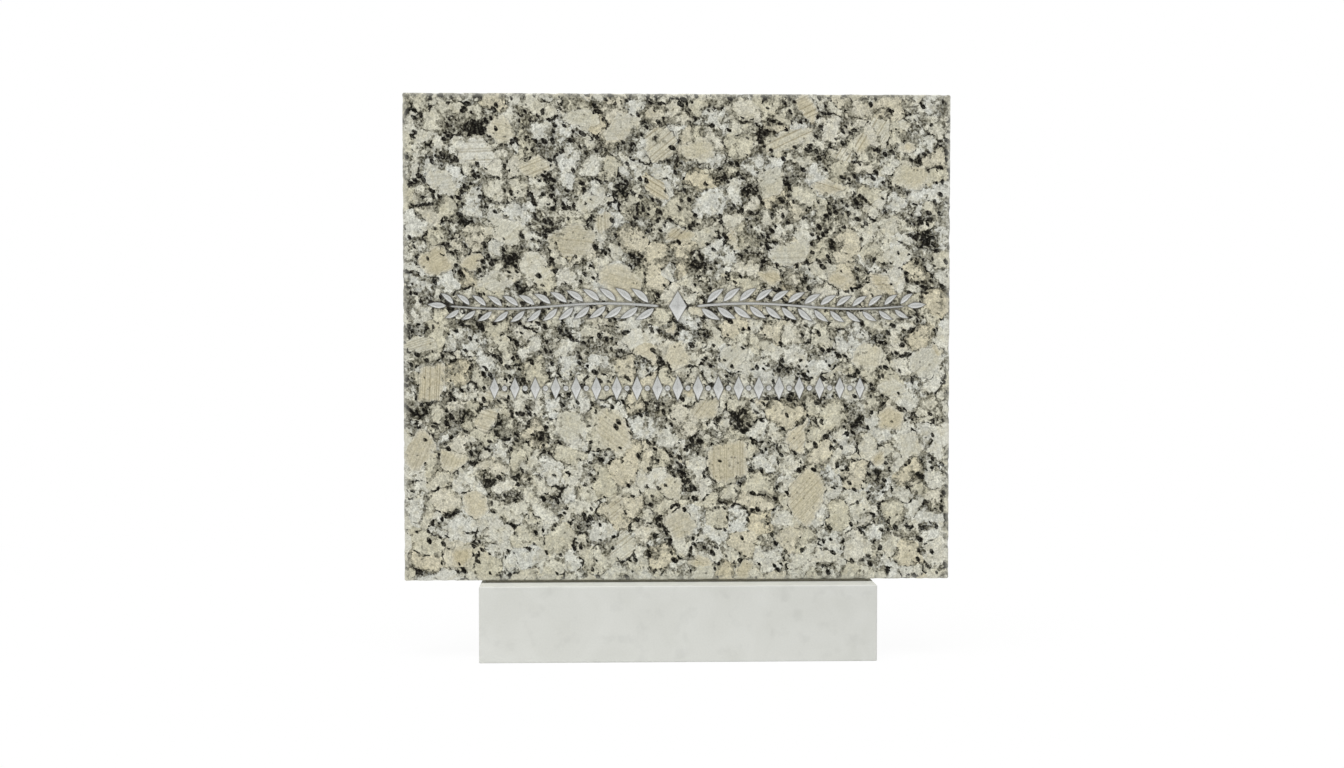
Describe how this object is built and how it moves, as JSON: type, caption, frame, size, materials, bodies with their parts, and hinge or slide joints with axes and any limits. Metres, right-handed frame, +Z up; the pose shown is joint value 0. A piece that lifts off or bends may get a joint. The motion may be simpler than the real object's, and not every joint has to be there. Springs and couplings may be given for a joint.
{
  "type": "upright flat grave marker on a plinth",
  "caption": "Flat rectangular granite grave marker slab standing upright on a narrower low marble plinth, with a thin recessed setting joint; marks a grave.",
  "frame": {"origin": "middle of the plinth's underside, on the ground", "axes": "+Z up; the carved face of the slab looks along -Y; +X runs to the right as the carved face is seen"},
  "size_m": [0.45, 0.084, 0.4645],
  "materials": {
    "granite": "satin",
    "marble": "satin",
    "setting_compound": "matte"
  },
  "bodies": {
    "root": {"marker_slab": "granite", "plinth_block": "marble", "setting_bed": "setting_compound"}
  },
  "joints": []
}
